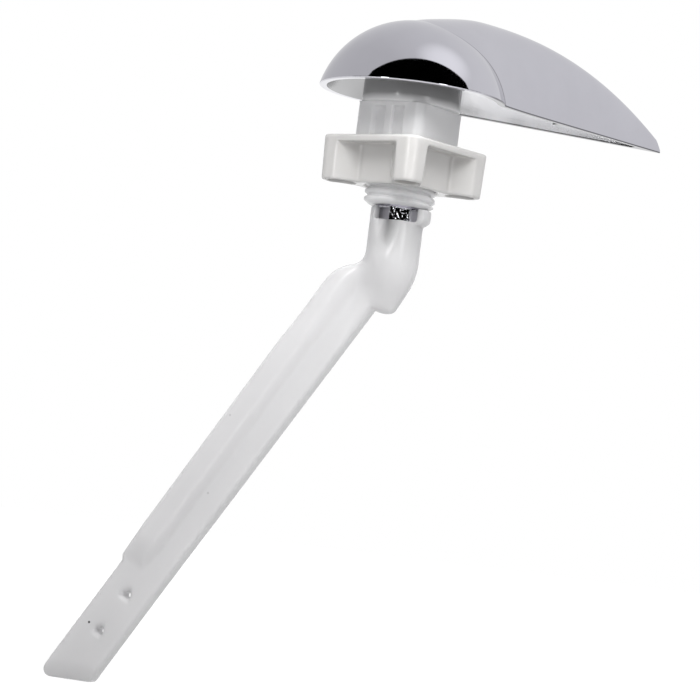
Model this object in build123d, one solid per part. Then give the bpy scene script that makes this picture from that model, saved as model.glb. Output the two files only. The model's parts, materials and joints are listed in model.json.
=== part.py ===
"""Side-mount cistern lever: chromed handle, wall bushing, mounting nut and trip arm.

Millimetres. The spindle axis is Z, with +Z out of the tank towards the handle.
The origin is where the axis meets the outside of the tank wall, and +X runs along the wing.
"""
import os
from math import cos, exp, radians, sin, sqrt, tan

from build123d import *

# Handle dome, a cap of a sphere
dome_rim_radius = 20.6
dome_height = 16.4
dome_wall = 1.6
dome_rim_round = 0.25
rim_clear_of_wall = 2.9

# Handle wing, a leaf with an arched crest
wing_reach = 72.2
wing_root_x = 8.0
wing_half_width = 13.4
wing_root_swell = 2.6
wing_swell_x = 4.0
wing_swell_length = 12.0
wing_crest_x = 14.5
wing_crest_height = 19.45
wing_crest_power = 2.25
wing_back_x = -6.0
wing_back_height = 15.3
wing_back_power = 1.5
wing_roof = 1.5
wing_edge = 1.1
wing_solid_tip = 8.5
wing_tip_length = 0.4
wing_tip_height = 1.6
wing_tip_slope = 56.0
wing_section_count = 16
hollow_section_count = 12

# Small lug cast inside one edge of the wing
lug_x = 38.0
lug_length = 4.0
lug_depth = 1.5
lug_height = 1.6

# Boss and spindle, cast with the handle
boss_radius = 8.5
journal_radius = 5.0
square_across = 7.0
square_length = 9.0
square_end_chamfer = 0.5

# Bushing
collar_radius = 10.8
collar_height = 7.2
collar_edge_round = 0.6
key_across = 17.3
key_corner = 2.0
key_length = 7.9
key_groove_width = 3.0
key_groove_depth = 0.8
key_groove_spacing = 5.0
key_groove_top = 0.9
key_turn = 21.5
thread_radius = 7.75
thread_end = 22.0
thread_end_chamfer = 0.6

# Mounting nut
nut_across = 26.8
nut_height = 10.0
nut_corner = 2.6
nut_draft = 1.8
nut_plate = 1.5
nut_top_round = 0.5
nut_foot_round = 0.35
nut_scoop_mouth = 17.0
nut_scoop_floor = 9.0
nut_scoop_depth = 3.8
nut_scoop_round = 1.6
nut_mouth_round = 0.5
nut_core_length = 6.6
nut_core_width = 5.2
nut_core_depth = 6.5
nut_core_inset = 4.1
nut_bore_chamfer = 0.5
nut_turn = 14.7

# Trip arm
arm_bearing = 123.5
arm_tilt = 32.0
neck_radius = 5.9
elbow_drop = 35.4
elbow_radius = 9.0
elbow_width = 13.0
elbow_thickness = 8.6
heel_length = 9.8
heel_width = 13.8
heel_thickness = 5.0
heel_nose = 3.2
bar_root_width = 12.9
bar_width = 12.0
bar_thickness = 4.0
bar_edge_round = 0.8
bar_offset = 3.74
bar_start = 1.7
bar_shoulder = 9.5
blade_width = 11.3
blade_start = 88.0
tip_drop = 134.0
tip_corner = 1.6
rib_width = 5.0
rib_height = 1.3
rib_slope = 1.8
rib_run_out = 2.0
chain_hole_radius = 0.85
chain_hole_first = 94.1
chain_hole_pitch = 10.3
chain_hole_offset = 3.24
chain_recess_radius = 2.1
chain_recess_corner = 0.4
chain_recess_depth = 0.7
hub_notch_width = 9.0
hub_notch_offset = -0.9
hub_notch_height = 3.0
hub_groove_width = 4.6
hub_groove_depth = 0.9
hub_groove_length = 12.0
stop_lug_reach = 7.4
stop_lug_width = 5.0
stop_lug_height = 3.4

# Fits
journal_clearance = 0.05
thread_clearance = 0.1
socket_clearance = 0.05
thrust_clearance = 0.1
hub_clearance = 0.2
nut_seat_clearance = 0.1

# Places that follow from the sizes above
rim_z = rim_clear_of_wall
dome_radius = (dome_rim_radius**2 + dome_height**2) / (2 * dome_height)
dome_centre_z = rim_z + dome_height - dome_radius
boss_bottom_z = collar_height + thrust_clearance
hub_top_z = -thread_end - hub_clearance
square_top_z = -thread_end
square_bottom_z = hub_top_z - square_length
nut_top_z = -key_length - nut_seat_clearance
bend_start_z = elbow_radius * tan(radians(arm_tilt / 2)) - elbow_drop


def wing_height(x):
    """Height of the crest above the rim: one curve behind the crest, another out to the tip."""
    if x > wing_crest_x:
        share = (x - wing_crest_x) / (wing_reach - wing_crest_x)
        return wing_crest_height - (wing_crest_height - wing_tip_height) * share**wing_crest_power
    share = (wing_crest_x - x) / (wing_crest_x - wing_back_x)
    return wing_crest_height - (wing_crest_height - wing_back_height) * share**wing_back_power


def wing_half_width_at(x):
    """Half width at the rim: a straight taper to the tip, with a swelling where it leaves the dome."""
    taper = wing_half_width * (wing_reach - x) / (wing_reach - wing_root_x)
    return taper + wing_root_swell * exp(-(((x - wing_swell_x) / wing_swell_length) ** 2))


def wing_section(x, side_wall, roof_wall, skirt):
    """Arched section across the wing, drawn inside the given walls."""
    half = wing_half_width_at(x) - side_wall
    height = wing_height(x) - roof_wall
    across = Plane(origin=(x, 0, rim_z), x_dir=(0, 1, 0), z_dir=(1, 0, 0))
    arch = EllipticalCenterArc((0, 0), half, height, start_angle=0, arc_size=180)
    base = Line((-half, 0), (half, 0))
    if skirt > 0:
        base = Polyline((-half, 0), (-half, -skirt), (half, -skirt), (half, 0))
    return across * make_face([arch, base])


def wing_loft(start, end, count, side_wall, roof_wall, skirt):
    """Loft through evenly spaced sections of the wing."""
    step = (end - start) / count
    return loft([wing_section(start + i * step, side_wall, roof_wall, skirt) for i in range(count + 1)])


def wing_body():
    """The leaf, with its point cut back to a steep nose."""
    leaf = wing_loft(wing_back_x, wing_reach - wing_tip_length, wing_section_count, 0, 0, 0)
    slope = radians(wing_tip_slope)
    nose = Plane(origin=(wing_reach, 0, rim_z), z_dir=(sin(slope), 0, cos(slope)))
    return split(leaf, nose, keep=Keep.BOTTOM)


def wing_hollow():
    inner_tip = wing_reach - wing_solid_tip
    return wing_loft(wing_swell_x, inner_tip, hollow_section_count, wing_edge, wing_roof, dome_wall)


def dome_body():
    ball = Pos(0, 0, dome_centre_z) * Sphere(dome_radius)
    cap = split(ball, Plane.XY.offset(rim_z), keep=Keep.TOP)
    rim = cap.edges().sort_by(Axis.Z)[0]
    return fillet(rim, dome_rim_round)


def wing_lug():
    inner_y = -(wing_half_width_at(lug_x) - wing_edge / 2)
    outline = Polyline(
        (lug_x - lug_length / 2, inner_y),
        (lug_x - lug_length / 2, inner_y + lug_depth + wing_edge / 2),
        (lug_x + lug_length / 2, inner_y),
        close=True,
    )
    return extrude(Pos(0, 0, rim_z) * make_face(outline), lug_height)


def spindle():
    journal_length = boss_bottom_z - square_top_z
    journal = Pos(0, 0, square_top_z) * extrude(Circle(journal_radius), journal_length)
    plan = Rot(0, 0, arm_bearing + 45) * Rectangle(square_across, square_across)
    plan = plan & Circle(journal_radius)
    end = Pos(0, 0, square_bottom_z) * extrude(plan, square_top_z - square_bottom_z)
    end = chamfer(end.faces().sort_by(Axis.Z)[0].edges(), square_end_chamfer)
    return journal + end


def handle():
    outer = dome_body() + wing_body()
    hollow = Pos(0, 0, dome_centre_z) * Sphere(dome_radius - dome_wall)
    shell = outer - hollow - wing_hollow()
    boss_column = Pos(0, 0, boss_bottom_z) * extrude(Circle(boss_radius), dome_height + rim_z)
    return shell + (boss_column & outer) + wing_lug() + spindle()


def key_groove(side, offset):
    """One upright groove in a side face of the square key."""
    floor = key_across / 2 - key_groove_depth
    tool = Pos(side * (floor + key_across / 2), offset, -key_length) * extrude(
        Rectangle(key_across, key_groove_width), key_length - key_groove_top
    )
    return fillet(tool.edges().filter_by(Axis.Z), key_groove_depth / 2)


def bushing():
    collar = extrude(Circle(collar_radius), collar_height)
    collar = fillet(collar.edges().sort_by(Axis.Z)[-1], collar_edge_round)
    key = Pos(0, 0, -key_length) * extrude(
        RectangleRounded(key_across, key_across, key_corner), key_length
    )
    for side in (-1, 1):
        for offset in (-key_groove_spacing / 2, key_groove_spacing / 2):
            key -= key_groove(side, offset)
    tail = Pos(0, 0, -thread_end) * extrude(Circle(thread_radius), thread_end - key_length)
    tail = chamfer(tail.edges().sort_by(Axis.Z)[0], thread_end_chamfer)
    body = collar + Rot(0, 0, key_turn) * key + tail
    bore = Pos(0, 0, -thread_end) * extrude(
        Circle(journal_radius + journal_clearance), thread_end + collar_height
    )
    return body - bore


def nut_scoop():
    """Plan of the scoop in one side of the nut, open at the outer face."""
    face = nut_across / 2
    floor = face - nut_scoop_depth
    beyond = face + nut_scoop_depth
    outline = Polyline(
        (-nut_scoop_mouth / 2, beyond),
        (-nut_scoop_mouth / 2, face),
        (-nut_scoop_floor / 2, floor),
        (nut_scoop_floor / 2, floor),
        (nut_scoop_mouth / 2, face),
        (nut_scoop_mouth / 2, beyond),
        close=True,
    )
    plan = make_face(outline)
    inner = plan.vertices().group_by(Axis.Y)[0]
    return fillet(inner, nut_scoop_round)


def nut_lobes():
    """Plan of the nut below its plate: a square with a scoop in each side and soft scoop mouths."""
    plan = RectangleRounded(nut_across, nut_across, nut_corner)
    for quarter in range(4):
        plan -= Rot(0, 0, 90 * quarter) * nut_scoop()
    mouth_reach = Vector(nut_scoop_mouth / 2, nut_across / 2).length
    mouths = [v for v in plan.vertices() if abs(Vector(v.X, v.Y).length - mouth_reach) < nut_mouth_round]
    return fillet(mouths, nut_mouth_round)


def mounting_nut():
    plate = extrude(RectangleRounded(nut_across, nut_across, nut_corner), -nut_plate, taper=nut_draft)
    plate = fillet(plate.faces().sort_by(Axis.Z)[-1].edges(), nut_top_round)
    lobes = extrude(nut_lobes(), -nut_height, taper=nut_draft)
    lobes = fillet(lobes.faces().sort_by(Axis.Z)[0].edges(), nut_foot_round)
    lobes = split(lobes, Plane.XY.offset(-nut_top_round), keep=Keep.BOTTOM)
    block = plate + lobes
    core_place = (nut_across / 2 - nut_core_inset) * sqrt(2)
    core = extrude(SlotOverall(nut_core_length, nut_core_width), nut_core_depth)
    for quarter in range(4):
        block -= Rot(0, 0, 90 * quarter + 45) * Pos(core_place, 0, -nut_height) * core
    bore_radius = thread_radius + thread_clearance
    block -= Pos(0, 0, -nut_height) * extrude(Circle(bore_radius), nut_height)
    bore_wall = block.faces().filter_by(GeomType.CYLINDER).sort_by(SortBy.AREA)[-1]
    block = chamfer(bore_wall.edges().filter_by(GeomType.CIRCLE), nut_bore_chamfer)
    return Pos(0, 0, nut_top_z) * Rot(0, 0, nut_turn) * block


def arm_point(along, across):
    """A point of the arm's plane, measured from the elbow along and across the lower leg."""
    tilt = radians(arm_tilt)
    return (
        along * sin(tilt) + across * cos(tilt),
        -elbow_drop - along * cos(tilt) + across * sin(tilt),
    )


def neck_section(place, turn, width, thickness):
    """Oval section of the neck, square to its run, which is turned from straight down."""
    x, z = place
    run = (sin(radians(turn)), 0, -cos(radians(turn)))
    side = (cos(radians(turn)), 0, sin(radians(turn)))
    return Plane(origin=(x, 0, z), x_dir=side, z_dir=run) * Ellipse(width / 2, thickness / 2)


def neck():
    """Round hub and neck, an elbow that flattens through its bend, and a rounded heel."""
    bend_start = (0, 0, bend_start_z)
    bend_x, bend_z = arm_point(elbow_radius * tan(radians(arm_tilt / 2)), 0)
    heel_x, heel_z = arm_point(heel_length - heel_nose, 0)
    straight = Pos(bend_start) * extrude(Circle(neck_radius), hub_top_z - bend_start_z)
    bend = TangentArc(bend_start, (bend_x, 0, bend_z), tangent=(0, 0, -1))
    sections = [
        neck_section((0, bend_start_z), 0, 2 * neck_radius, 2 * neck_radius),
        neck_section((bend_x, bend_z), arm_tilt, elbow_width, elbow_thickness),
        neck_section((heel_x, heel_z), arm_tilt, heel_width, heel_thickness),
    ]
    elbow = sweep(sections, path=bend + Line(bend @ 1, (heel_x, 0, heel_z)), multisection=True)
    nose = scale(Sphere(1), (heel_width / 2, heel_thickness / 2, heel_nose))
    return straight + elbow + Pos(heel_x, 0, heel_z) * Rot(0, -arm_tilt, 0) * nose


def tip_along(across):
    """Distance along the lower leg at which a line of the bar meets the square-cut end."""
    tilt = radians(arm_tilt)
    return (tip_drop - elbow_drop + across * sin(tilt)) / cos(tilt)


def bar_half_width(along):
    """Half width of the bar, which tapers evenly from its root towards the blade."""
    share = (along - bar_start) / (blade_start - bar_start)
    return (bar_root_width + (bar_width - bar_root_width) * share) / 2


def bar_outline():
    """Side outline of the bar: rounded shoulder, step to the blade, end cut square to the spindle."""
    root, end = bar_half_width(bar_start), bar_half_width(blade_start)
    outer = bar_offset + end
    inner = bar_offset - end
    blade = inner + blade_width
    points = [
        (bar_start, bar_offset - root),
        (bar_start, bar_offset + root),
        (blade_start, outer),
        (blade_start + outer - blade, blade),
        (tip_along(blade), blade),
        (tip_along(inner), inner),
        (blade_start, inner),
    ]
    return Polyline(*[arm_point(*point) for point in points], close=True)


def bar_place(along):
    """Plane square to the bar at a place along it, with thickness along x and width along y."""
    x, z = arm_point(along, bar_offset)
    run = (sin(radians(arm_tilt)), 0, -cos(radians(arm_tilt)))
    return Plane(origin=(x, 0, z), x_dir=(0, 1, 0), z_dir=run)


def plate_section(along):
    section = RectangleRounded(bar_thickness, 2 * bar_half_width(along), bar_edge_round)
    return bar_place(along) * section


def rib_section(along):
    """Raised strip over the outer half of the bar's front face, with a sloping inner flank."""
    outer = bar_half_width(along)
    foot = bar_thickness / 2
    outline = Polyline(
        (0, outer),
        (foot + rib_height, outer),
        (foot + rib_height, outer - rib_width),
        (foot, outer - rib_width - rib_slope),
        (0, outer - rib_width - rib_slope),
        close=True,
    )
    section = make_face(outline)
    return bar_place(along) * fillet(section.vertices().group_by(Axis.X)[-1], bar_edge_round)


def rib():
    """The strip along the bar, sloped down to the blade at its lower end."""
    x, z = arm_point(blade_start, bar_offset)
    slope = (rib_height * sin(radians(arm_tilt)), rib_run_out, -rib_height * cos(radians(arm_tilt)))
    run_out = Plane(origin=(x, bar_thickness / 2, z), z_dir=slope)
    strip = loft([rib_section(bar_start), rib_section(blade_start)], ruled=True)
    return split(strip, run_out, keep=Keep.BOTTOM)


def bar():
    """Flat bar with its rib, cut to the side outline."""
    plate = loft([plate_section(bar_start), plate_section(blade_start)], ruled=True)
    plate += extrude(plate_section(blade_start), tip_along(bar_width) - blade_start)
    face = Plane.XZ * make_face(bar_outline())
    outline = extrude(face, bar_thickness + rib_height, both=True)
    shoulder = outline.edges().filter_by(Axis.Y).sort_by(Axis.Z)[-1]
    outline = fillet(shoulder, bar_shoulder)
    tip = outline.edges().filter_by(Axis.Y).sort_by(Axis.Z)[:2]
    return (plate + rib()) & fillet(tip, tip_corner)


def stop_lug():
    """Lug on the back of the hub with a rounded lower end."""
    plan = Rectangle(stop_lug_reach, stop_lug_width, align=(Align.MAX, Align.CENTER))
    plan = plan & Circle(stop_lug_reach)
    body = Pos(0, 0, hub_top_z - stop_lug_height) * extrude(plan, stop_lug_height)
    outer_foot = body.faces().sort_by(Axis.X)[0].edges().sort_by(Axis.Z)[0]
    return fillet(outer_foot, stop_lug_reach - neck_radius)


def chain_hole():
    """Small hole through the blade at the bottom of a three-cornered recess."""
    plan = RegularPolygon(chain_recess_radius, 3)
    plan = fillet(plan.vertices(), chain_recess_corner)
    recess = Pos(0, 0, bar_thickness / 2 - chain_recess_depth) * extrude(plan, bar_thickness)
    return recess + Cylinder(chain_hole_radius, 2 * bar_thickness)


def hub_notch():
    """Window in the front of the hub that shows the spindle's square."""
    plan = Rectangle(hub_notch_width, 2 * neck_radius, align=(Align.CENTER, Align.MIN))
    return Pos(hub_notch_offset, 0, hub_top_z - hub_notch_height) * extrude(plan, hub_notch_height)


def hub_groove():
    """Flat groove below the notch that runs out down the neck."""
    top = hub_top_z - hub_notch_height
    side = Polyline(
        (neck_radius - hub_groove_depth, top),
        (2 * neck_radius, top),
        (2 * neck_radius, top - hub_groove_length),
        (neck_radius, top - hub_groove_length),
        close=True,
    )
    return extrude(Plane.YZ * make_face(side), hub_groove_width / 2, both=True)


def trip_arm():
    body = neck() + bar() + stop_lug()
    across = square_across + 2 * socket_clearance
    socket_plan = (Rot(0, 0, 45) * Rectangle(across, across)) & Circle(journal_radius + socket_clearance)
    socket_depth = square_length + socket_clearance
    body -= Pos(0, 0, hub_top_z - socket_depth) * extrude(socket_plan, socket_depth)
    body -= hub_notch()
    body -= hub_groove()
    for number in range(2):
        x, z = arm_point(chain_hole_first + number * chain_hole_pitch, chain_hole_offset)
        body -= Pos(x, 0, z) * Rot(-90, 0, 0) * chain_hole()
    return Rot(0, 0, arm_bearing) * body


nodes = {
    "handle": handle(),
    "bushing": bushing(),
    "mounting_nut": mounting_nut(),
    "trip_arm": trip_arm(),
}

os.makedirs("parts", exist_ok=True)
for name, shape in nodes.items():
    export_step(shape, f"parts/{name}.step")
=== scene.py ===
"""Dresses a side-mount cistern lever: plated handle, moulded plastics, their thread and a studio.

Laid out as an add-on and run as a script. Lengths are metres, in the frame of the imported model:
the spindle axis is Z, +Z points out of the tank and +X runs along the handle's wing.
"""
import json
import math

import bpy
from bpy.props import FloatProperty, FloatVectorProperty, IntProperty, PointerProperty
from mathutils import Matrix, Vector


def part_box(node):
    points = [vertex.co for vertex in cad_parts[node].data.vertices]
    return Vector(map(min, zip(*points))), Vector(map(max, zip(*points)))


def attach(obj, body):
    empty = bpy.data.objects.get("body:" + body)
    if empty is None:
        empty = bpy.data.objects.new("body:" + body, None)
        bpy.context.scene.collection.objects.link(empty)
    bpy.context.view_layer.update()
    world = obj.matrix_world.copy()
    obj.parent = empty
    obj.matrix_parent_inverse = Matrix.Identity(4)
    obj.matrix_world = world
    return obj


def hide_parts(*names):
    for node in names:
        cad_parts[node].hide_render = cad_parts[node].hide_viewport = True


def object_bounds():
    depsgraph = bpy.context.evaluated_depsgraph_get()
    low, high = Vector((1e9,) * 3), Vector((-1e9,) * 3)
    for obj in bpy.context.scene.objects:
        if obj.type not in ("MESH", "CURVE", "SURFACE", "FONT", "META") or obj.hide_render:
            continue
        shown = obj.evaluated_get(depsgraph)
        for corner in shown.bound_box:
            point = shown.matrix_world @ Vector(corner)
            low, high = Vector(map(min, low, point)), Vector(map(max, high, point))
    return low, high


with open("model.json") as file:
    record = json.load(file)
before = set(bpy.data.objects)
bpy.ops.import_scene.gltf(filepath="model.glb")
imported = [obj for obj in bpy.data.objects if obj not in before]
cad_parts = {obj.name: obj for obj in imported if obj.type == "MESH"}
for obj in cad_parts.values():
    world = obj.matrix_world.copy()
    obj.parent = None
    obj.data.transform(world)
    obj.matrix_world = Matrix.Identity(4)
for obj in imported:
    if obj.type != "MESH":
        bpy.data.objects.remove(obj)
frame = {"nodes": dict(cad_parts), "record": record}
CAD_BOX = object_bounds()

bl_info = {
    "name": "Cistern lever finish",
    "version": (1, 0, 0),
    "blender": (4, 5, 0),
    "location": "3D View > Sidebar > Lever",
    "description": "Plating, plastics, thread and studio for a cistern lever",
    "category": "Object",
}

MM = 0.001
BUSHING_LOW, BUSHING_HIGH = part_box("bushing")
ARM_END = CAD_BOX[0].z

# Scales of the finishes' noise, in features to the metre
BUFFING_WAVE = 90.0
PLATING_CLOUD = 140.0
PLATING_POLISH = 220.0
CAST_GRAIN = 1300.0
PLASTIC_CLOUD = 35.0
PLASTIC_GLOSS = 150.0
PLASTIC_PEEL = 900.0

# Ranges and fades that the finishes share
NOISE_SPAN = (0.3, 0.7)
FULL_SPAN = (0.0, 1.0)
CLOUD_TONES = (0.985, 1.015)
POLISH = (0.03, 0.06)
LINE_FADE = 0.1 * MM


class HandleSizes(bpy.types.PropertyGroup):
    """Where the handle's finish, its painted shade and its painted reflection change."""

    rim_height: FloatProperty(
        name="Rim height", description="Handle's lower rim above the wall",
        default=2.9 * MM, unit="LENGTH"
    )
    dome_radius: FloatProperty(
        name="Dome radius", description="Sphere that the dome is a cap of",
        default=21.14 * MM, unit="LENGTH"
    )
    dome_centre: FloatProperty(
        name="Dome centre", description="Height of that sphere's centre",
        default=-1.84 * MM, unit="LENGTH"
    )
    # Painted shade: a darker line is painted into the plating along the crease where the wing leaves the
    # dome, for the shade that falls there.
    crease_width: FloatProperty(
        name="Crease width", description="Dull line where the wing leaves the dome",
        default=0.12 * MM, unit="LENGTH"
    )
    crease_top: FloatProperty(
        name="Crease top", description="Height at which the dull line has faded",
        default=17.0 * MM, unit="LENGTH"
    )
    crease_shade_tone: FloatProperty(
        name="Crease tone", description="Tone of that dull line",
        default=0.45, subtype="FACTOR"
    )
    # Painted reflection: a dark line is painted along the wing's lower edge, for the dark floor that its
    # underside mirrors.
    edge_reflection_height: FloatProperty(
        name="Edge line", description="Dull line along the wing's lower edge",
        default=0.34 * MM, unit="LENGTH"
    )
    edge_reflection_tone: FloatProperty(
        name="Edge tone", description="Tone of the line along the edge",
        default=0.3, subtype="FACTOR"
    )
    # Painted shade: the hollow's inside is painted darker towards the wing's tip and at the dome's sides,
    # for the shade that falls deep in it.
    shaded_tip: FloatProperty(
        name="Dull tip", description="From the spindle to where the wing's inside is dullest",
        default=67.0 * MM, unit="LENGTH"
    )
    tip_run: FloatProperty(
        name="Tip run", description="Length over which the inside turns dull",
        default=8.0 * MM, unit="LENGTH"
    )
    tip_shade_tone: FloatProperty(
        name="Tip tone", description="Tone of the inside at the wing's tip",
        default=0.35, subtype="FACTOR"
    )
    side_shade_tone: FloatProperty(
        name="Side tone", description="Tone of the inside at the dome's sides",
        default=0.5, subtype="FACTOR"
    )
    hollow_satin: FloatProperty(
        name="Hollow satin", description="Roughness that the hollow adds to the polish",
        default=0.18, subtype="FACTOR"
    )
    square_top: FloatProperty(
        name="Square top", description="Top of the spindle's square end, left as cast",
        default=-22.0 * MM, unit="LENGTH"
    )
    cast_depth: FloatProperty(
        name="Cast depth", description="Depth of the grain on that square end",
        default=0.068 * MM, unit="LENGTH"
    )
    wave_share: FloatProperty(
        name="Wave share", description="Depth of the buffed waves, as a share of that grain",
        default=0.056, subtype="FACTOR"
    )


class BushingSizes(bpy.types.PropertyGroup):
    """Sizes of the wall bushing, from its collar down to the end of its thread."""

    collar_radius: FloatProperty(
        name="Collar radius", description="Round collar outside the wall",
        default=BUSHING_HIGH.x, unit="LENGTH"
    )
    collar_height: FloatProperty(
        name="Collar height", description="Collar above its seat",
        default=BUSHING_HIGH.z, unit="LENGTH"
    )
    collar_round: FloatProperty(
        name="Collar round", description="Round on the collar's upper edge",
        default=0.6 * MM, unit="LENGTH"
    )
    key_across: FloatProperty(
        name="Key across", description="Square key, flat to flat",
        default=17.3 * MM, unit="LENGTH"
    )
    key_corner: FloatProperty(
        name="Key corner", description="Radius of the key's corners",
        default=2.0 * MM, unit="LENGTH"
    )
    key_length: FloatProperty(
        name="Key length", description="Key below the collar's seat",
        default=7.9 * MM, unit="LENGTH"
    )
    key_round: FloatProperty(
        name="Key round", description="Round on the key's lower edge",
        default=0.4 * MM, unit="LENGTH"
    )
    key_turn: FloatProperty(
        name="Key turn", description="Turn of the key from the wing",
        default=math.radians(21.5), subtype="ANGLE"
    )
    groove_width: FloatProperty(
        name="Groove width", description="Width of the upright grooves in two key faces",
        default=3.0 * MM, unit="LENGTH"
    )
    groove_depth: FloatProperty(
        name="Groove depth", description="Depth of the key's grooves",
        default=0.8 * MM, unit="LENGTH"
    )
    groove_spacing: FloatProperty(
        name="Groove spacing", description="Between the two grooves of a face",
        default=5.0 * MM, unit="LENGTH"
    )
    groove_top: FloatProperty(
        name="Groove top", description="Plain key above the grooves",
        default=0.9 * MM, unit="LENGTH"
    )
    groove_wall: FloatProperty(
        name="Groove wall", description="Run of a groove's soft side",
        default=0.35 * MM, unit="LENGTH"
    )
    thread_crest: FloatProperty(
        name="Thread crest", description="Radius at the thread's crest",
        default=7.75 * MM, unit="LENGTH"
    )
    thread_depth: FloatProperty(
        name="Thread depth", description="Crest to root",
        default=0.7 * MM, unit="LENGTH"
    )
    thread_pitch: FloatProperty(
        name="Thread pitch", description="Advance in one turn, left-handed",
        default=1.75 * MM, unit="LENGTH"
    )
    tail_end: FloatProperty(
        name="Tail end", description="Height of the thread's lower end",
        default=BUSHING_LOW.z, unit="LENGTH"
    )
    tail_chamfer: FloatProperty(
        name="Tail chamfer", description="Chamfer at the thread's lower end",
        default=0.6 * MM, unit="LENGTH"
    )
    bore_radius: FloatProperty(
        name="Bore radius", description="Bore for the spindle",
        default=5.05 * MM, unit="LENGTH"
    )
    steps_round: IntProperty(
        name="Steps round", description="Points in each ring",
        default=360
    )
    thread_rows: IntProperty(
        name="Thread rows", description="Rings down the thread",
        default=84
    )
    # Painted shadow: the collar is painted greyer towards its top, for the dome's shadow on it.
    collar_shadow_tone: FloatProperty(
        name="Collar shade", description="Tone of the collar beside the key's",
        default=0.42, subtype="FACTOR"
    )


class NutSizes(bpy.types.PropertyGroup):
    """How the mould leaves the mounting nut."""

    grain: FloatProperty(
        name="Grain", description="Distance between the points of a moulded surface",
        default=0.20 * MM, unit="LENGTH"
    )
    rounds: IntProperty(
        name="Rounds", description="Rounds of easing on the nut's edges",
        default=2
    )
    corner_rounds: IntProperty(
        name="Corner rounds", description="Rounds of easing on the nut's corners",
        default=30
    )
    corner_start: FloatProperty(
        name="Corner start", description="From the spindle to where the corners start",
        default=9.5 * MM, unit="LENGTH"
    )
    plate: FloatProperty(
        name="Plate", description="Depth from the top that stays crisp, and run of the easing",
        default=2.4 * MM, unit="LENGTH"
    )


class ArmSizes(bpy.types.PropertyGroup):
    """How the mould leaves the trip arm, the specks on it and the shade painted down its blade."""

    grain: FloatProperty(
        name="Grain", description="Distance between the points of a moulded surface",
        default=0.30 * MM, unit="LENGTH"
    )
    rounds: IntProperty(
        name="Rounds", description="Rounds of easing on the arm's edges",
        default=7
    )
    rib_end: FloatProperty(
        name="Rib end", description="Rib's end above the upper chain hole",
        default=4.6 * MM, unit="LENGTH"
    )
    rib_run_out: FloatProperty(
        name="Rib run-out", description="Length over which the rib falls to the blade",
        default=10.0 * MM, unit="LENGTH"
    )
    recess_reach: FloatProperty(
        name="Recess reach", description="Round a chain hole, where the blade is eased",
        default=4.0 * MM, unit="LENGTH"
    )
    recess_rounds: IntProperty(
        name="Recess rounds", description="Rounds of easing at a chain hole",
        default=16
    )
    elbow_height: FloatProperty(
        name="Elbow height", description="Height of the elbow's middle",
        default=-41.0 * MM, unit="LENGTH"
    )
    elbow_reach: FloatProperty(
        name="Elbow reach", description="Above and below that, where the elbow is eased",
        default=13.0 * MM, unit="LENGTH"
    )
    elbow_rounds: IntProperty(
        name="Elbow rounds", description="Rounds of easing at the elbow",
        default=140
    )
    blade_thickness: FloatProperty(
        name="Blade thickness", description="Through the flat blade",
        default=4.0 * MM, unit="LENGTH"
    )
    end_run: FloatProperty(
        name="End run", description="Height over which the blade thins to its end",
        default=5.0 * MM, unit="LENGTH"
    )
    end_thinning: FloatProperty(
        name="End thinning", description="How far the front falls back at the end",
        default=1.1 * MM, unit="LENGTH"
    )
    black_speck: FloatVectorProperty(
        name="Black speck", description="Black speck low on the blade",
        default=(-35.17 * MM, 49.52 * MM, -120.65 * MM), unit="LENGTH"
    )
    upper_speck: FloatVectorProperty(
        name="Upper speck", description="Faint speck on the rib",
        default=(-20.56 * MM, 25.09 * MM, -71.23 * MM), unit="LENGTH"
    )
    lower_speck: FloatVectorProperty(
        name="Lower speck", description="Faint speck beside the rib",
        default=(-21.4 * MM, 28.71 * MM, -88.87 * MM), unit="LENGTH"
    )
    # Painted shade: the blade is painted greyer towards its end, for the light that falls off down the arm.
    end_painted_shade: FloatProperty(
        name="End shade", description="Tone of the blade's end beside the neck's",
        default=0.85, subtype="FACTOR"
    )
    painted_shade_start: FloatProperty(
        name="Shade start", description="Height at which the blade starts to darken",
        default=0.4 * ARM_END, unit="LENGTH"
    )
    speck_radius: FloatProperty(
        name="Speck radius", description="Size of a speck",
        default=0.29 * MM, unit="LENGTH"
    )
    faint_tone: FloatProperty(
        name="Faint tone", description="Tone of the two faint specks",
        default=0.80, subtype="FACTOR"
    )
    black_tone: FloatProperty(
        name="Black tone", description="Tone of the black speck",
        default=0.04, subtype="FACTOR"
    )


class FinishColours(bpy.types.PropertyGroup):
    """Base colours of the lever's finishes."""

    chrome: FloatVectorProperty(
        name="Chrome", description="Bright plating",
        default=(0.552, 0.547, 0.588), subtype="COLOR"
    )
    # Partly real and partly painted light: the satin inside is given a lighter colour than the plating,
    # which also paints in the bright light that the hollow mirrors.
    chrome_inside: FloatVectorProperty(
        name="Chrome inside", description="Satin metal inside the hollow",
        default=(0.95, 0.95, 0.96), subtype="COLOR"
    )
    bushing: FloatVectorProperty(
        name="Bushing", description="Natural white moulding",
        default=(0.89, 0.89, 0.90), subtype="COLOR"
    )
    nut: FloatVectorProperty(
        name="Nut", description="Warm gloss white moulding",
        default=(0.71, 0.70, 0.686), subtype="COLOR"
    )
    arm: FloatVectorProperty(
        name="Arm", description="Milky translucent moulding",
        default=(0.805, 0.80, 0.806), subtype="COLOR"
    )
    floor: FloatVectorProperty(
        name="Floor", description="Pale studio floor",
        default=(0.50, 0.50, 0.50), subtype="COLOR"
    )
    surround: FloatVectorProperty(
        name="Surround", description="Pale studio surround",
        default=(0.985, 0.985, 1.0), subtype="COLOR"
    )


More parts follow.
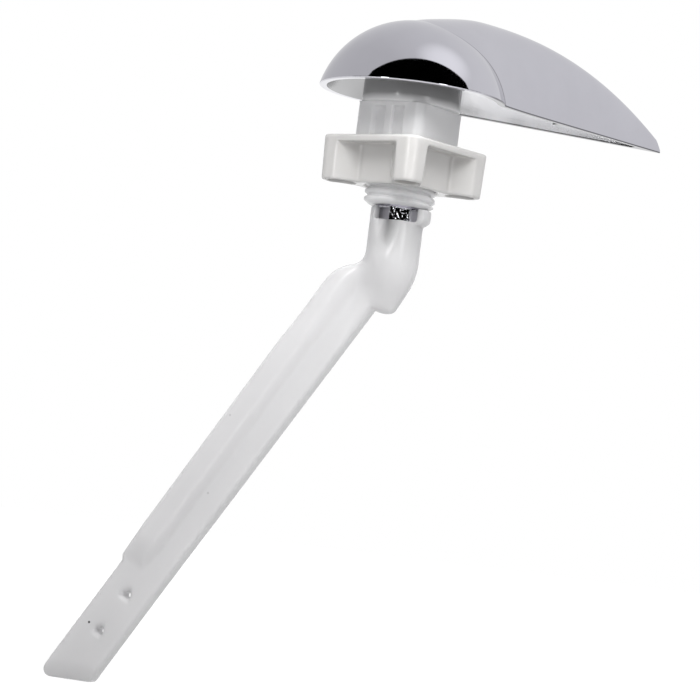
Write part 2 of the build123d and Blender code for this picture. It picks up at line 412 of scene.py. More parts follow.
class StudioSizes(bpy.types.PropertyGroup):
    """Camera, light and floor of the studio."""

    camera_place: FloatVectorProperty(
        name="Camera place", description="Where the camera stands",
        default=(-0.375, -0.5347, -0.0966), unit="LENGTH"
    )
    camera_turn: FloatProperty(
        name="Camera turn", description="Heading, from looking along +Y",
        default=math.radians(-34.46), subtype="ANGLE"
    )
    camera_lift: FloatProperty(
        name="Camera lift", description="Upward tilt",
        default=math.radians(3.71), subtype="ANGLE"
    )
    camera_roll: FloatProperty(
        name="Camera roll", description="Roll about the line of sight",
        default=math.radians(7.13), subtype="ANGLE"
    )
    camera_lens: FloatProperty(
        name="Lens", description="Focal length in millimetres",
        default=154.29
    )
    sensor_width: FloatProperty(
        name="Sensor width", description="Width of the sensor in millimetres",
        default=36.0
    )
    surround: FloatProperty(
        name="Surround", description="Brightness of the pale surround",
        default=0.71
    )
    surround_share: FloatProperty(
        name="Surround share", description="Share of the surround that lights matt surfaces",
        default=0.59, subtype="FACTOR"
    )
    opening_turn: FloatProperty(
        name="Opening turn", description="Dark opening round the camera, to the right of it",
        default=math.radians(6.0), subtype="ANGLE"
    )
    opening_lift: FloatProperty(
        name="Opening lift", description="Height of the dark opening's middle",
        default=math.radians(20.0), subtype="ANGLE"
    )
    opening_wide: FloatProperty(
        name="Opening width", description="Half width of the dark opening",
        default=math.radians(86.0), subtype="ANGLE"
    )
    opening_tall: FloatProperty(
        name="Opening height", description="Half height of the dark opening",
        default=math.radians(46.0), subtype="ANGLE"
    )
    glow_turn: FloatProperty(
        name="Glow turn", description="Bright patch of the surround, to the right of the camera",
        default=math.radians(61.0), subtype="ANGLE"
    )
    glow_lift: FloatProperty(
        name="Glow lift", description="Height of the bright patch",
        default=math.radians(60.0), subtype="ANGLE"
    )
    glow_reach: FloatProperty(
        name="Glow reach", description="From the middle of the bright patch to its edge",
        default=math.radians(30.0), subtype="ANGLE"
    )
    glow_gain: FloatProperty(
        name="Glow gain", description="Brightness that the patch adds",
        default=0.38
    )
    bright_side_turn: FloatProperty(
        name="Bright side turn", description="Surround's brighter side, to the right of the camera",
        default=math.radians(110.0), subtype="ANGLE"
    )
    bright_side_lift: FloatProperty(
        name="Bright side lift", description="Height of the brighter side's middle",
        default=math.radians(30.0), subtype="ANGLE"
    )
    bright_side_gain: FloatProperty(
        name="Bright side gain", description="Brightness that the brighter side adds",
        default=0.21
    )
    left_turn: FloatProperty(
        name="Left lamp turn", description="Left lamp, to the left of the camera",
        default=math.radians(34.0), subtype="ANGLE"
    )
    left_power: FloatProperty(
        name="Left lamp power", description="Power of the left lamp",
        default=0.18, unit="POWER"
    )
    right_turn: FloatProperty(
        name="Right lamp turn", description="Right lamp, to the right of the camera",
        default=math.radians(36.0), subtype="ANGLE"
    )
    right_power: FloatProperty(
        name="Right lamp power", description="Power of the right lamp",
        default=0.15, unit="POWER"
    )
    lamp_lift: FloatProperty(
        name="Lamp lift", description="Height of the side lamps",
        default=math.radians(3.0), subtype="ANGLE"
    )
    lamp_distance: FloatProperty(
        name="Lamp distance", description="From the spindle to a lamp",
        default=0.45, unit="LENGTH"
    )
    lamp_wide: FloatProperty(
        name="Lamp width", description="Width of an upright side lamp",
        default=0.08, unit="LENGTH"
    )
    lamp_tall: FloatProperty(
        name="Lamp height", description="Height of an upright side lamp",
        default=0.12, unit="LENGTH"
    )
    fill_turn: FloatProperty(
        name="Fill turn", description="Soft lamp, to the right of the camera",
        default=math.radians(2.0), subtype="ANGLE"
    )
    fill_lift: FloatProperty(
        name="Fill lift", description="Height of the soft lamp above level",
        default=math.radians(50.0), subtype="ANGLE"
    )
    fill_distance: FloatProperty(
        name="Fill distance", description="From the spindle to the soft lamp",
        default=0.22, unit="LENGTH"
    )
    fill_side: FloatProperty(
        name="Fill side", description="Side of the soft lamp",
        default=0.20, unit="LENGTH"
    )
    fill_power: FloatProperty(
        name="Fill power", description="Power of the soft lamp",
        default=0.76, unit="POWER"
    )
    floor_lift: FloatProperty(
        name="Floor lift", description="White that the floor adds near the lever",
        default=0.58
    )
    floor_far_lift: FloatProperty(
        name="Floor far lift", description="White that the floor adds far off",
        default=0.88
    )
    floor_far: FloatProperty(
        name="Floor far", description="Distance at which the far white is reached",
        default=0.70, unit="LENGTH"
    )
    floor_mirror: FloatProperty(
        name="Floor mirror", description="Share of that white in reflections",
        default=1.0, subtype="FACTOR"
    )
    floor_gap: FloatProperty(
        name="Floor gap", description="Floor below the arm's tip",
        default=6.0 * MM, unit="LENGTH"
    )
    floor_side: FloatProperty(
        name="Floor side", description="Side of the square floor",
        default=40.0, unit="LENGTH"
    )


def material_tree(name):
    """A new material with one main shader; gives the material, its tree and the shader."""
    material = bpy.data.materials.new(name)
    material.use_nodes = True
    tree = material.node_tree
    tree.nodes.clear()
    shader = tree.nodes.new("ShaderNodeBsdfPrincipled")
    out = tree.nodes.new("ShaderNodeOutputMaterial")
    tree.links.new(shader.outputs["BSDF"], out.inputs["Surface"])
    return material, tree, shader


def noise(tree, scale, detail):
    """Noise in the frame's own coordinates, with scale in features to the metre."""
    place = tree.nodes.new("ShaderNodeTexCoord")
    texture = tree.nodes.new("ShaderNodeTexNoise")
    texture.inputs["Scale"].default_value = scale
    texture.inputs["Detail"].default_value = detail
    tree.links.new(place.outputs["Object"], texture.inputs["Vector"])
    return texture.outputs["Fac"]


def ranged(tree, value, low, high, source=NOISE_SPAN):
    """A value spread over a new range."""
    node = tree.nodes.new("ShaderNodeMapRange")
    node.inputs["From Min"].default_value, node.inputs["From Max"].default_value = source
    node.inputs["To Min"].default_value, node.inputs["To Max"].default_value = low, high
    tree.links.new(value, node.inputs["Value"])
    return node.outputs["Result"]


def tinted(tree, value, low, high):
    """A colour between two others, chosen by a value."""
    node = tree.nodes.new("ShaderNodeMix")
    node.data_type = "RGBA"
    node.inputs["A"].default_value = (*low, 1.0)
    node.inputs["B"].default_value = (*high, 1.0)
    tree.links.new(value, node.inputs["Factor"])
    return node.outputs["Result"]


def bumped(tree, shader, height, depth):
    """Roughens a shader's surface by a height of the given depth in metres."""
    node = tree.nodes.new("ShaderNodeBump")
    node.inputs["Distance"].default_value = depth
    tree.links.new(height, node.inputs["Height"])
    tree.links.new(node.outputs["Normal"], shader.inputs["Normal"])


def math_node(tree, operation, first, second=0.0):
    """Arithmetic on two values, where either is a number or another node's value."""
    node = tree.nodes.new("ShaderNodeMath")
    node.operation = operation
    for socket, value in zip(node.inputs, (first, second)):
        if isinstance(value, (int, float)):
            socket.default_value = value
        else:
            tree.links.new(value, socket)
    return node.outputs["Value"]


def product(tree, first, *others):
    """Values multiplied together."""
    for value in others:
        first = math_node(tree, "MULTIPLY", first, value)
    return first


def vector_node(tree, operation, first, second):
    """Vector arithmetic, where either side is a fixed vector or another node's output."""
    node = tree.nodes.new("ShaderNodeVectorMath")
    node.operation = operation
    for socket, value in zip(node.inputs, (first, second)):
        if isinstance(value, (tuple, Vector)):
            socket.default_value = value
        else:
            tree.links.new(value, socket)
    return node.outputs


def hollow_side(tree, sizes):
    """1 on the inside of the handle's shell, which faces the middle of its rim, and 0 outside."""
    place = tree.nodes.new("ShaderNodeTexCoord")
    rim_middle = (0.0, 0.0, sizes.rim_height)
    outward = vector_node(tree, "SUBTRACT", place.outputs["Object"], rim_middle)["Vector"]
    facing = vector_node(tree, "DOT_PRODUCT", outward, place.outputs["Normal"])["Value"]
    fade = (-0.9 * MM, -0.3 * MM)
    return ranged(tree, facing, 1.0, 0.0, fade)


def place_parts(tree):
    """X, Y and Z of a point, in the frame's own coordinates."""
    parts = tree.nodes.new("ShaderNodeSeparateXYZ")
    tree.links.new(tree.nodes.new("ShaderNodeTexCoord").outputs["Object"], parts.inputs["Vector"])
    return parts.outputs


def painted_crease_shade(tree, sizes):
    """1 in the line of painted shade where the wing leaves the dome, fading out towards the top, and 0
    elsewhere.
    """
    place = tree.nodes.new("ShaderNodeTexCoord").outputs["Object"]
    away = vector_node(tree, "DISTANCE", place, (0.0, 0.0, sizes.dome_centre))["Value"]
    clear = math_node(tree, "SUBTRACT", away, sizes.dome_radius)
    near = ranged(tree, clear, 1.0, 0.0, (0.5 * sizes.crease_width, sizes.crease_width))
    lift_off = (0.002 * MM, 0.008 * MM)
    off_dome = ranged(tree, clear, 0.0, 1.0, lift_off)
    low = ranged(tree, place_parts(tree)["Z"], 1.0, 0.0, (0.6 * sizes.crease_top, sizes.crease_top))
    return product(tree, near, off_dome, low)


def painted_edge_reflection(tree, sizes):
    """1 in the painted dark reflection along the wing's lower edge, and 0 on the dome's rim and elsewhere.
    """
    place = place_parts(tree)
    top = sizes.rim_height + sizes.edge_reflection_height
    low = ranged(tree, place["Z"], 1.0, 0.0, (top - LINE_FADE, top))
    wing_root = (0.15 * sizes.dome_radius, 0.45 * sizes.dome_radius)
    beyond = ranged(tree, place["X"], 0.0, 1.0, wing_root)
    return product(tree, low, beyond)


def painted_hollow_shade(tree, sizes):
    """1 in the open middle of the hollow, with painted shade darker at the dome's sides and towards the
    wing's tip.
    """
    place = place_parts(tree)
    aside = math_node(tree, "ABSOLUTE", place["Y"])
    side_run = (0.42 * sizes.dome_radius, 0.6 * sizes.dome_radius)
    dome_side = ranged(tree, aside, 1.0, sizes.side_shade_tone, side_run)
    tip_run = (sizes.shaded_tip - sizes.tip_run, sizes.shaded_tip)
    tip = ranged(tree, place["X"], 1.0, sizes.tip_shade_tone, tip_run)
    return product(tree, dome_side, tip)


def bright_plating(colour, inside, sizes):
    """Polished plating: wavy as a buffed casting, satin in the hollow, coarse on the spindle's end, with
    painted shade and a painted reflection in its colour.
    """
    material, tree, shader = material_tree("bright_plating")
    shader.inputs["Metallic"].default_value = 1.0
    hollow = hollow_side(tree, sizes)
    cloud = ranged(tree, noise(tree, PLATING_CLOUD, detail=3.0), *CLOUD_TONES)
    # Painted shade along the crease where the wing leaves the dome
    crease_shade = ranged(tree, painted_crease_shade(tree, sizes), 1.0, sizes.crease_shade_tone, FULL_SPAN)
    # Painted dark reflection along the wing's lower edge
    edge = ranged(tree, painted_edge_reflection(tree, sizes), 1.0, sizes.edge_reflection_tone, FULL_SPAN)
    # Painted shade in the hollow's ends and sides
    hollow_shade_loss = product(tree, hollow, math_node(tree, "SUBTRACT", 1.0, painted_hollow_shade(tree, sizes)))
    tone = product(tree, crease_shade, edge, math_node(tree, "SUBTRACT", 1.0, hollow_shade_loss), cloud)
    # The hollow's lighter colour is partly its satin finish and partly painted light
    toned = vector_node(tree, "MULTIPLY", tinted(tree, hollow, colour, inside), tone)["Vector"]
    tree.links.new(toned, shader.inputs["Base Color"])
    polish = ranged(tree, noise(tree, PLATING_POLISH, detail=4.0), *POLISH)
    satin = product(tree, hollow, sizes.hollow_satin)
    tree.links.new(math_node(tree, "ADD", polish, satin), shader.inputs["Roughness"])
    square_end = (sizes.square_top - LINE_FADE, sizes.square_top)
    as_cast = ranged(tree, place_parts(tree)["Z"], 1.0, 0.0, square_end)
    coarse = product(tree, as_cast, noise(tree, CAST_GRAIN, detail=2.0))
    wavy = product(tree, noise(tree, BUFFING_WAVE, detail=1.0), sizes.wave_share)
    bumped(tree, shader, math_node(tree, "ADD", coarse, wavy), sizes.cast_depth)
    return material


def painted_collar_shadow(tree, sizes):
    """1 on the key and below, with the dome's shadow painted greyer up the collar."""
    rise = (-0.2 * MM, 0.25 * sizes.collar_height)
    return ranged(tree, place_parts(tree)["Z"], 1.0, sizes.collar_shadow_tone, rise)


def speck(tree, place, radius, tone):
    """The given tone inside a small speck, and 1 outside it."""
    here = tree.nodes.new("ShaderNodeTexCoord").outputs["Object"]
    away = vector_node(tree, "DISTANCE", here, tuple(place))["Value"]
    soft_edge = (0.7 * radius, 1.1 * radius)
    return ranged(tree, away, tone, 1.0, soft_edge)


def specks_and_painted_shade(tree, sizes):
    """1 at the neck with painted shade greyer down the blade, and three specks of dirt."""
    upper = speck(tree, sizes.upper_speck, sizes.speck_radius, sizes.faint_tone)
    lower = speck(tree, sizes.lower_speck, sizes.speck_radius, sizes.faint_tone)
    black = speck(tree, sizes.black_speck, sizes.speck_radius, sizes.black_tone)
    # Painted shade, greyer down the blade
    blade = (ARM_END, sizes.painted_shade_start)
    along = ranged(tree, place_parts(tree)["Z"], sizes.end_painted_shade, 1.0, blade)
    return product(tree, upper, lower, black, along)


def moulded_plastic(name, colour, roughness, depth, weight, peel, tone=None):
    """Moulded plastic that light enters to the given depth, with its colour times a tone."""
    material, tree, shader = material_tree(name)
    level = ranged(tree, noise(tree, PLASTIC_CLOUD, detail=1.0), *CLOUD_TONES)
    if tone:
        level = product(tree, level, tone(tree))
    toned = vector_node(tree, "MULTIPLY", tuple(colour), level)["Vector"]
    tree.links.new(toned, shader.inputs["Base Color"])
    gloss = ranged(tree, noise(tree, PLASTIC_GLOSS, detail=1.0), 0.9 * roughness, 1.1 * roughness)
    tree.links.new(gloss, shader.inputs["Roughness"])
    shader.inputs["Subsurface Weight"].default_value = weight
    shader.inputs["Subsurface Radius"].default_value = (1.0, 1.0, 1.0)
    shader.inputs["Subsurface Scale"].default_value = depth
    bumped(tree, shader, noise(tree, PLASTIC_PEEL, detail=2.0), peel)
    return material


def settle(piece):
    """Puts what a piece's modifiers make into its mesh."""
    made = bpy.data.meshes.new_from_object(piece.evaluated_get(bpy.context.evaluated_depsgraph_get()))
    piece.modifiers.clear()
    piece.data = made
    made.shade_smooth()


def moulded_copy(node, name, grain, rounds):
    """A copy of a node whose edges and corners are eased as a mould leaves them."""
    piece = bpy.data.objects.new(name, frame["nodes"][node].data.copy())
    bpy.context.scene.collection.objects.link(piece)
    blend = piece.modifiers.new("blend", "REMESH")
    blend.mode = "VOXEL"
    blend.voxel_size = grain
    ease = piece.modifiers.new("ease", "SMOOTH")
    ease.iterations = rounds
    settle(piece)
    piece.data.materials.clear()
    return piece


def blade_lines():
    """Places of the two chain holes, and the direction that the blade's front faces."""
    mounts = {mount["name"]: mount for mount in frame["record"]["mounts"]}
    upper, lower = (Vector(mounts[name]["pos_m"]) for name in ("chain_hole_upper", "chain_hole_lower"))
    return upper, lower, Vector(mounts["chain_hole_upper"]["axis"])


def smooth_step(value):
    """A soft rise from 0 to 1 as the value goes from 0 to 1, level outside that."""
    value = min(1.0, max(0.0, value))
    return value * value * (3.0 - 2.0 * value)


def fade_out(share):
    """1 up to half of a reach, then falling to 0 at its end."""
    return smooth_step(2.0 - 2.0 * share)


def front_weight(point, front, thickness, full_at):
    """0 up to half way from the blade's middle to its front, and 1 from the given share of the rest."""
    share = 4.0 * point.dot(front) / thickness - 1.0
    return smooth_step(share / full_at)


def ease_where(piece, rounds, weight_at):
    """Eases a piece's surface where the weight of a point is above 0."""
    group = piece.vertex_groups.new(name="eased")
    for vertex in piece.data.vertices:
        weight = weight_at(vertex.co)
        if weight > 0.0:
            group.add([vertex.index], weight, "REPLACE")
    ease = piece.modifiers.new("ease", "SMOOTH")
    ease.vertex_group = group.name
    ease.iterations = rounds
    settle(piece)
    piece.vertex_groups.clear()


def ease_recesses(piece, sizes):
    """Softens the recess round each chain hole, on the blade's front."""
    upper, lower, front = blade_lines()

    def from_hole(point, hole):
        return ((point - hole) - front * (point - hole).dot(front)).length

    def weight_at(point):
        away = min(from_hole(point, upper), from_hole(point, lower))
        on_front = front_weight(point, front, sizes.blade_thickness, full_at=0.25)
        return fade_out(away / sizes.recess_reach) * on_front

    ease_where(piece, sizes.recess_rounds, weight_at)


def ease_corners(piece, sizes):
    """Rounds the nut's corners into the scoops between them, below its top plate."""
    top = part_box("mounting_nut")[1].z

    def weight_at(point):
        outward = (point.xy.length - sizes.corner_start) / sizes.plate
        below = (top - point.z) / sizes.plate - 1.0
        return smooth_step(outward) * smooth_step(below)

    ease_where(piece, sizes.corner_rounds, weight_at)


def ease_elbow(piece, sizes):
    """Lets the neck flow into the bar on the front of the elbow."""
    front = blade_lines()[2]

    def weight_at(point):
        away = abs(point.z - sizes.elbow_height) / sizes.elbow_reach
        return fade_out(away) * front_weight(point, front, sizes.blade_thickness, full_at=0.5)

    ease_where(piece, sizes.elbow_rounds, weight_at)


def run_out_rib(piece, sizes):
    """Lowers the rib to the blade's face towards its end."""
    upper, lower, front = blade_lines()
    down = (lower - upper).normalized()
    for vertex in piece.data.vertices:
        to_end = -(vertex.co - upper).dot(down) - sizes.rib_end
        proud = vertex.co.dot(front) - sizes.blade_thickness / 2
        if proud > 0.0:
            vertex.co -= front * (proud * (1.0 - smooth_step(to_end / sizes.rib_run_out)))
    piece.data.update()


def thin_end(piece, sizes):
    """Lets the blade's front fall back towards its end."""
    front = blade_lines()[2]
    for vertex in piece.data.vertices:
        share = 1.0 - (vertex.co.z - ARM_END) / sizes.end_run
        if share > 0.0:
            through = vertex.co.dot(front) / sizes.blade_thickness + 0.5
            vertex.co -= front * (sizes.end_thinning * share**2 * through)
    piece.data.update()


def ring_mesh(name, rings):
    """A closed mesh from rings of points, where the last ring joins the first."""
    count = len(rings[0])
    points = [point for ring in rings for point in ring]
    faces = []
    for row in range(len(rings)):
        below = (row + 1) % len(rings)
        for i in range(count):
            j = (i + 1) % count
            faces.append((row * count + i, below * count + i, below * count + j, row * count + j))
    mesh = bpy.data.meshes.new(name)
    mesh.from_pydata(points, [], faces)
    mesh.shade_smooth()
    mesh.update()
    piece = bpy.data.objects.new(name, mesh)
    bpy.context.scene.collection.objects.link(piece)
    return piece


def key_radius(sizes, angle, z):
    """Distance from the axis to the key's side, at an angle and a height."""
    quarter_turn, eighth_turn = math.pi / 2, math.pi / 4
    half = sizes.key_across / 2
    turn = (angle - sizes.key_turn + eighth_turn) % quarter_turn - eighth_turn
    face = half / math.cos(turn)
    across = abs(half * math.tan(turn))
    flat = half - sizes.key_corner
    if across > flat:
        centre = flat * math.sqrt(2.0)
        away = eighth_turn - abs(turn)
        off_line = centre * math.sin(away)
        face = centre * math.cos(away) + math.sqrt(sizes.key_corner**2 - off_line**2)
    grooved = round((angle - sizes.key_turn) / quarter_turn) % 2 == 0
    if grooved:
        from_groove = abs(across - sizes.groove_spacing / 2) - sizes.groove_width / 2
        below_top = smooth_step(0.5 + (-sizes.groove_top - z) / sizes.groove_wall)
        face -= sizes.groove_depth * below_top * smooth_step(0.5 - from_groove / sizes.groove_wall)
    return face


def thread_radius(sizes, angle, z):
    """Distance from the axis to the left-hand thread, fading out at both ends."""
    # From a crest's middle to half way down its side, in pitches
    crest_reach = 0.325
    phase = (z / sizes.thread_pitch + angle / math.tau) % 1.0
    ridge = smooth_step(1.5 - abs(phase - 0.5) / crest_reach)
    from_key = (-sizes.key_length - z) / sizes.thread_pitch
    from_end = (z - sizes.tail_end) / (0.5 * sizes.thread_pitch)
    fade = smooth_step(from_key) * smooth_step(from_end)
    return sizes.thread_crest - sizes.thread_depth * (1.0 - ridge * fade)


def bushing_rings(sizes):
    """Rings of the bushing: out over the collar, down the key and thread, and back up the bore."""
    angles = [math.tau * i / sizes.steps_round for i in range(sizes.steps_round)]
    collar, bore = sizes.collar_radius, sizes.bore_radius
    top, end = sizes.collar_height, sizes.tail_end
    edge, edge_middle = 0.2 * MM, 0.06 * MM
    fillet, fillet_middle = 0.15 * MM, 0.04 * MM
    quarters = (0.25, 0.5, 0.75)
    rings = []

    def ring(radius_at, z):
        rings.append([(radius_at(a) * math.cos(a), radius_at(a) * math.sin(a), z) for a in angles])

    def even(radius):
        return lambda angle: radius

    def key_ring(inset, z):
        ring(lambda angle: key_radius(sizes, angle, z) - inset, z)

    def bends(steps):
        return [math.pi / 2 * step / steps for step in range(steps + 1)]

    ring(even(bore + edge), top)
    soft = sizes.collar_round
    for bend in bends(6):
        ring(even(collar - soft + soft * math.sin(bend)), top - soft + soft * math.cos(bend))
    for share in reversed(quarters):
        ring(even(collar), top * share)
    ring(even(collar), edge)
    ring(even(collar - edge_middle), edge_middle)
    ring(even(collar - edge), 0.0)
    key_ring(-fillet, 0.0)
    key_ring(-fillet_middle, -fillet_middle)
    key_ring(0.0, -fillet)
    for step in range(-3, 4):
        key_ring(0.0, -sizes.groove_top - sizes.groove_wall * step / 6)
    for share in quarters:
        key_ring(0.0, -sizes.key_length * share)
    soft = sizes.key_round
    for bend in bends(4):
        key_ring(soft - soft * math.cos(bend), -sizes.key_length + soft - soft * math.sin(bend))
    thread_run = end + sizes.tail_chamfer + sizes.key_length
    for row in range(sizes.thread_rows + 1):
        z = -sizes.key_length + thread_run * row / sizes.thread_rows
        ring(lambda angle: thread_radius(sizes, angle, z), z)
    root = sizes.thread_crest - sizes.thread_depth
    ring(even(root - sizes.tail_chamfer), end)
    ring(even(bore + edge), end)
    ring(even(bore), end + edge)
    for share in quarters:
        ring(even(bore), end + (top - end) * share)
    ring(even(bore), top - edge)
    return rings


class LEVER_OT_handle(bpy.types.Operator):
    """Plates the cast handle and its spindle"""

    bl_idname = "lever.handle"
    bl_label = "Plate the handle"

    def execute(self, context):
        colours = context.scene.lever_colours
        piece = frame["nodes"]["handle"]
        piece.data.materials.clear()
        piece.data.materials.append(
            bright_plating(colours.chrome, colours.chrome_inside, context.scene.lever_handle)
        )
        return {"FINISHED"}


class LEVER_OT_bushing(bpy.types.Operator):
    """Builds the wall bushing with its grooved key and left-hand thread"""

    bl_idname = "lever.bushing"
    bl_label = "Build the bushing"

    def execute(self, context):
        sizes = context.scene.lever_bushing
        piece = ring_mesh("threaded_bushing", bushing_rings(sizes))
        material = moulded_plastic(
            "natural_white", context.scene.lever_colours.bushing, roughness=0.22, depth=2.2 * MM, weight=0.8,
            peel=0.004 * MM, tone=lambda tree: painted_collar_shadow(tree, sizes)
        )
        piece.data.materials.append(material)
        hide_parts("bushing")
        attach(piece, "bushing")
        return {"FINISHED"}


class LEVER_OT_nut(bpy.types.Operator):
    """Eases the mounting nut's corners and finishes it in gloss white"""

    bl_idname = "lever.nut"
    bl_label = "Finish the nut"

    def execute(self, context):
        sizes = context.scene.lever_nut
        piece = moulded_copy("mounting_nut", "moulded_nut", sizes.grain, sizes.rounds)
        ease_corners(piece, sizes)
        material = moulded_plastic(
            "gloss_white", context.scene.lever_colours.nut, roughness=0.06, depth=2.0 * MM, weight=0.7,
            peel=0.003 * MM
        )
        piece.data.materials.append(material)
        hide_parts("mounting_nut")
        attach(piece, "nut")
        return {"FINISHED"}


class LEVER_OT_arm(bpy.types.Operator):
    """Eases the trip arm's edges and finishes it in milky plastic"""

    bl_idname = "lever.arm"
    bl_label = "Finish the arm"

    def execute(self, context):
        sizes = context.scene.lever_arm
        piece = moulded_copy("trip_arm", "moulded_arm", sizes.grain, sizes.rounds)
        ease_recesses(piece, sizes)
        ease_elbow(piece, sizes)
        run_out_rib(piece, sizes)
        thin_end(piece, sizes)
        material = moulded_plastic(
            "milky_moulding", context.scene.lever_colours.arm, roughness=0.16, depth=6.0 * MM, weight=1.0,
            peel=0.003 * MM, tone=lambda tree: specks_and_painted_shade(tree, sizes)
        )
        piece.data.materials.append(material)
        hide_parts("trip_arm")
        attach(piece, "lever")
        return {"FINISHED"}


def add_camera(studio):
    """The camera, turned, lifted and rolled from looking along +Y."""
    data = bpy.data.cameras.new("camera")
    data.sensor_width = studio.sensor_width
    data.lens = studio.camera_lens
    data.clip_end = 2.5 * studio.floor_side
    camera = bpy.data.objects.new("camera", data)
    bpy.context.scene.collection.objects.link(camera)
    turn = Matrix.Rotation(studio.camera_turn, 4, "Z")
    lift = Matrix.Rotation(math.pi / 2 + studio.camera_lift, 4, "X")
    roll = Matrix.Rotation(studio.camera_roll, 4, "Z")
    camera.matrix_world = Matrix.Translation(studio.camera_place) @ turn @ lift @ roll
    bpy.context.scene.camera = camera


def bearing_of(place):
    """Turn about the spindle, from +X, at which a place lies."""
    return math.atan2(place[1], place[0])


def direction(turn, lift):
    """Unit vector at a turn about the spindle and a height above level."""
    return Vector((math.cos(lift) * math.cos(turn), math.cos(lift) * math.sin(turn), math.sin(lift)))


def dark_opening(tree, outward, studio):
    """1 in the oval opening of the surround that the camera looks through, and 0 outside it."""
    mapping = tree.nodes.new("ShaderNodeMapping")
    mapping.vector_type = "TEXTURE"
    turn = bearing_of(studio.camera_place) + studio.opening_turn
    mapping.inputs["Rotation"].default_value = (0.0, -studio.opening_lift, turn)
    wide, tall = math.tan(studio.opening_wide), math.tan(studio.opening_tall)
    mapping.inputs["Scale"].default_value = (1.0, wide, tall)
    tree.links.new(outward, mapping.inputs["Vector"])
    parts = tree.nodes.new("ShaderNodeSeparateXYZ")
    tree.links.new(mapping.outputs["Vector"], parts.inputs["Vector"])
    square = [product(tree, parts.outputs[axis], parts.outputs[axis]) for axis in "YZ"]
    away = math_node(tree, "SQRT", math_node(tree, "ADD", *square))
    least_ahead, soft_edge = 0.001, (0.985, 1.015)
    ahead = math_node(tree, "MAXIMUM", parts.outputs["X"], least_ahead)
    return ranged(tree, math_node(tree, "DIVIDE", away, ahead), 1.0, 0.0, soft_edge)


def surround_level(tree, outward, studio):
    """Brightness of the surround: it rises towards one side and has one bright patch."""
    bearing = bearing_of(studio.camera_place)
    side = direction(bearing + studio.bright_side_turn, studio.bright_side_lift)
    patch = direction(bearing + studio.glow_turn, studio.glow_lift)
    spread = ranged(tree, vector_node(tree, "DOT_PRODUCT", outward, side)["Value"],
                    studio.surround, studio.surround + studio.bright_side_gain, FULL_SPAN)
    glow = ranged(tree, vector_node(tree, "DOT_PRODUCT", outward, patch)["Value"],
                  0.0, studio.glow_gain, (math.cos(studio.glow_reach), 1.0))
    glow.node.interpolation_type = "SMOOTHSTEP"
    return math_node(tree, "ADD", spread, glow)


def add_world(studio, colour):
    """White to the camera; a pale surround on the part, with a dark opening in what it mirrors."""
    world = bpy.data.worlds.new("studio")
    world.use_nodes = True
    bpy.context.scene.world = world
    tree = world.node_tree
    tree.nodes.clear()
    outward = tree.nodes.new("ShaderNodeTexCoord").outputs["Generated"]
    path = tree.nodes.new("ShaderNodeLightPath")
    share = tree.nodes.new("ShaderNodeMix")
    share.inputs["A"].default_value = studio.surround_share
    tree.links.new(path.outputs["Is Glossy Ray"], share.inputs["Factor"])
    outside = math_node(tree, "SUBTRACT", 1.0, dark_opening(tree, outward, studio))
    tree.links.new(outside, share.inputs["B"])
    level = product(tree, surround_level(tree, outward, studio), share.outputs["Result"])
    pale = tree.nodes.new("ShaderNodeBackground")
    pale.inputs["Color"].default_value = (*colour, 1.0)
    tree.links.new(level, pale.inputs["Strength"])
    white = tree.nodes.new("ShaderNodeBackground")
    white.inputs["Color"].default_value = (1.0, 1.0, 1.0, 1.0)
    mixed = tree.nodes.new("ShaderNodeMixShader")
    tree.links.new(path.outputs["Is Camera Ray"], mixed.inputs["Fac"])
    tree.links.new(pale.outputs["Background"], mixed.inputs[1])
    tree.links.new(white.outputs["Background"], mixed.inputs[2])
    out = tree.nodes.new("ShaderNodeOutputWorld")
    tree.links.new(mixed.outputs["Shader"], out.inputs["Surface"])


def add_lamp(name, place, wide, tall, power):
    """A flat lamp that faces the origin."""
    data = bpy.data.lights.new(name, "AREA")
    data.shape = "RECTANGLE"
    data.size, data.size_y = wide, tall
    data.energy = power
    lamp = bpy.data.objects.new(name, data)
    lamp.location = place
    lamp.rotation_euler = place.to_track_quat("Z", "Y").to_euler()
    bpy.context.scene.collection.objects.link(lamp)
    return lamp


def add_lamps(studio):
    """An upright lamp on each side, and over the camera a soft one that metal doesn't mirror."""
    bearing = bearing_of(studio.camera_place)
    sides = (
        ("left_lamp", -studio.left_turn, studio.left_power),
        ("right_lamp", studio.right_turn, studio.right_power),
    )
    for name, turn, power in sides:
        place = direction(bearing + turn, studio.lamp_lift) * studio.lamp_distance
        add_lamp(name, place, studio.lamp_wide, studio.lamp_tall, power)
    place = direction(bearing + studio.fill_turn, studio.fill_lift) * studio.fill_distance
    fill = add_lamp("fill_lamp", place, studio.fill_side, studio.fill_side, studio.fill_power)
    fill.visible_glossy = False


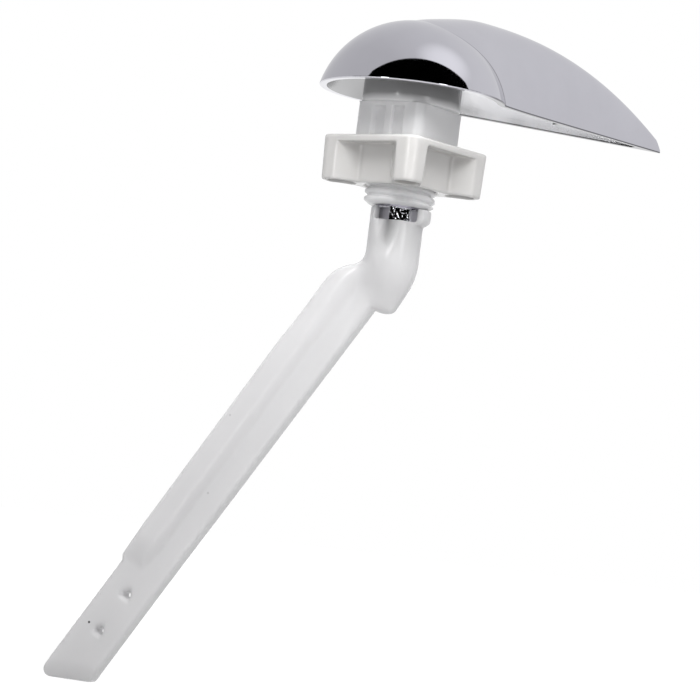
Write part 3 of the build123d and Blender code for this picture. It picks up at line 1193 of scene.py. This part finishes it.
def add_floor(studio, colour):
    """A pale floor that takes the shadow and runs out white."""
    side = studio.floor_side / 2
    level = ARM_END - studio.floor_gap
    corners = ((-side, -side), (side, -side), (side, side), (-side, side))
    mesh = bpy.data.meshes.new("floor")
    mesh.from_pydata([(x, y, level) for x, y in corners], [], [(0, 1, 2, 3)])
    floor = bpy.data.objects.new("floor", mesh)
    bpy.context.scene.collection.objects.link(floor)
    material, tree, shader = material_tree("pale_floor")
    shader.inputs["Base Color"].default_value = (*colour, 1.0)
    shader.inputs["Roughness"].default_value = 0.9
    shader.inputs["Specular IOR Level"].default_value = 0.0
    shader.inputs["Emission Color"].default_value = (1.0, 1.0, 1.0, 1.0)
    path = tree.nodes.new("ShaderNodeLightPath")
    mirrored = product(tree, path.outputs["Is Glossy Ray"], studio.floor_mirror)
    seen = math_node(tree, "MAXIMUM", path.outputs["Is Camera Ray"], path.outputs["Is Transmission Ray"])
    seen = math_node(tree, "MAXIMUM", seen, mirrored)
    place = tree.nodes.new("ShaderNodeTexCoord").outputs["Object"]
    away = vector_node(tree, "DISTANCE", place, (0.0, 0.0, level))["Value"]
    lift = ranged(tree, away, studio.floor_lift, studio.floor_far_lift, (0.0, studio.floor_far))
    tree.links.new(product(tree, seen, lift), shader.inputs["Emission Strength"])
    mesh.materials.append(material)


class LEVER_OT_stage(bpy.types.Operator):
    """Sets the pale floor, the soft light and the camera"""

    bl_idname = "lever.stage"
    bl_label = "Set the stage"

    def execute(self, context):
        studio = context.scene.lever_studio
        add_camera(studio)
        add_world(studio, context.scene.lever_colours.surround)
        add_lamps(studio)
        add_floor(studio, context.scene.lever_colours.floor)
        context.scene.view_settings.view_transform = "Standard"
        return {"FINISHED"}


OPERATORS = (LEVER_OT_handle, LEVER_OT_bushing, LEVER_OT_nut, LEVER_OT_arm, LEVER_OT_stage)
GROUPS = {
    "lever_handle": HandleSizes,
    "lever_bushing": BushingSizes,
    "lever_nut": NutSizes,
    "lever_arm": ArmSizes,
    "lever_colours": FinishColours,
    "lever_studio": StudioSizes,
}


class LEVER_PT_finish(bpy.types.Panel):
    """Lists the steps that dress the lever"""

    bl_idname = "LEVER_PT_finish"
    bl_label = "Cistern lever"
    bl_space_type = "VIEW_3D"
    bl_region_type = "UI"
    bl_category = "Lever"

    def draw(self, context):
        for operator in OPERATORS:
            self.layout.operator(operator.bl_idname)
        for group in GROUPS:
            settings = getattr(context.scene, group)
            box = self.layout.box()
            for name in settings.__annotations__:
                box.prop(settings, name)


CLASSES = (*GROUPS.values(), *OPERATORS, LEVER_PT_finish)


def register():
    """Registers the groups, operators and panel, and gives the scene its settings."""
    for item in CLASSES:
        bpy.utils.register_class(item)
    for name, group in GROUPS.items():
        setattr(bpy.types.Scene, name, PointerProperty(type=group))


def unregister():
    """Takes the settings and the classes away again."""
    for name in GROUPS:
        delattr(bpy.types.Scene, name)
    for item in reversed(CLASSES):
        bpy.utils.unregister_class(item)


def main():
    """Dresses the lever piece by piece and sets the stage."""
    register()
    bpy.ops.lever.handle()
    bpy.ops.lever.bushing()
    bpy.ops.lever.nut()
    bpy.ops.lever.arm()
    bpy.ops.lever.stage()


if __name__ == "__main__":
    main()
